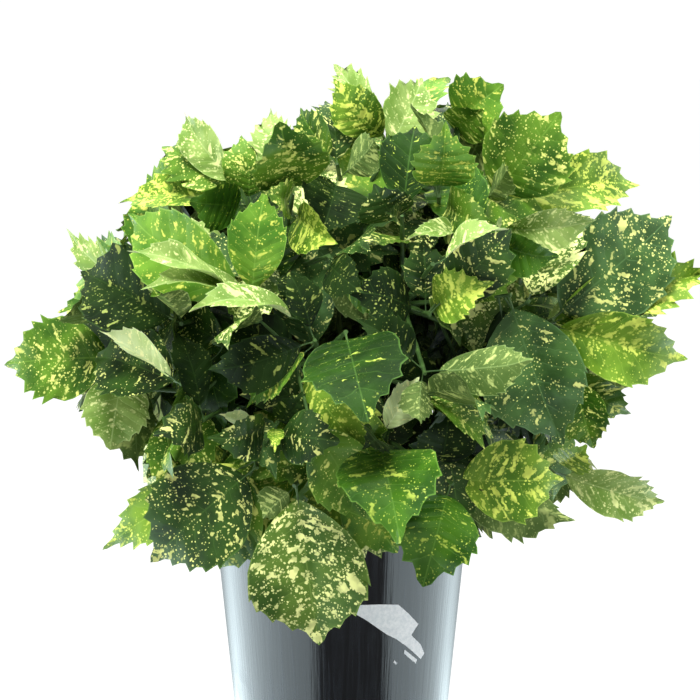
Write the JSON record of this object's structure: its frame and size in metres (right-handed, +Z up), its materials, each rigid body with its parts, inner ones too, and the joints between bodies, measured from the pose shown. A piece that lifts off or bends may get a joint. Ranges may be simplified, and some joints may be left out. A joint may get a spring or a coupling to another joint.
{
  "type": "potted spotted laurel",
  "caption": "Evergreen shrub with broad, toothed, yellow-spotted leaves in a dense dome over a tall round black plastic pot.",
  "frame": {"origin": "centre of the pot's flat underside, on the ground", "axes": "+Z up along the pot's axis, -Y towards the front of the plant, +X to the right as seen from the front"},
  "size_m": [0.6741, 0.6904, 0.7377],
  "materials": {
    "foliage": "glossy leathery leaves with cream-yellow spots and paler undersides",
    "bark": "smooth green-brown bark",
    "pot": "glossy black moulded plastic with fine scuffs",
    "soil": "dark crumbly potting compost",
    "label": "thin matt paper, the blank rest of a torn label"
  },
  "bodies": {
    "root": {"pot": "pot", "soil": "soil", "stem_1": "bark", "stem_2": "bark", "stem_3": "bark", "stem_4": "bark", "stem_5": "bark", "stem_6": "bark", "bough_1": "bark", "bough_2": "bark", "bough_3": "bark", "bough_4": "bark", "bough_5": "bark", "bough_6": "bark", "bough_7": "bark", "bough_8": "bark", "bough_9": "bark", "bough_10": "bark", "bough_11": "bark", "bough_12": "bark", "bough_13": "bark", "bough_14": "bark", "bough_15": "bark", "bough_16": "bark", "bough_17": "bark", "bough_18": "bark", "bough_19": "bark", "bough_20": "bark", "bough_21": "bark", "bough_22": "bark", "bough_23": "bark", "bough_24": "bark", "foliage_1": "foliage", "foliage_2": "foliage", "foliage_3": "foliage", "foliage_4": "foliage", "foliage_5": "foliage", "foliage_6": "foliage", "foliage_7": "foliage", "foliage_8": "foliage", "foliage_9": "foliage", "foliage_10": "foliage", "foliage_11": "foliage", "foliage_12": "foliage", "foliage_13": "foliage", "foliage_14": "foliage", "foliage_15": "foliage", "foliage_16": "foliage", "foliage_17": "foliage", "foliage_18": "foliage", "foliage_19": "foliage", "foliage_20": "foliage", "foliage_21": "foliage", "foliage_22": "foliage", "foliage_23": "foliage", "foliage_24": "foliage"}
  },
  "joints": []
}
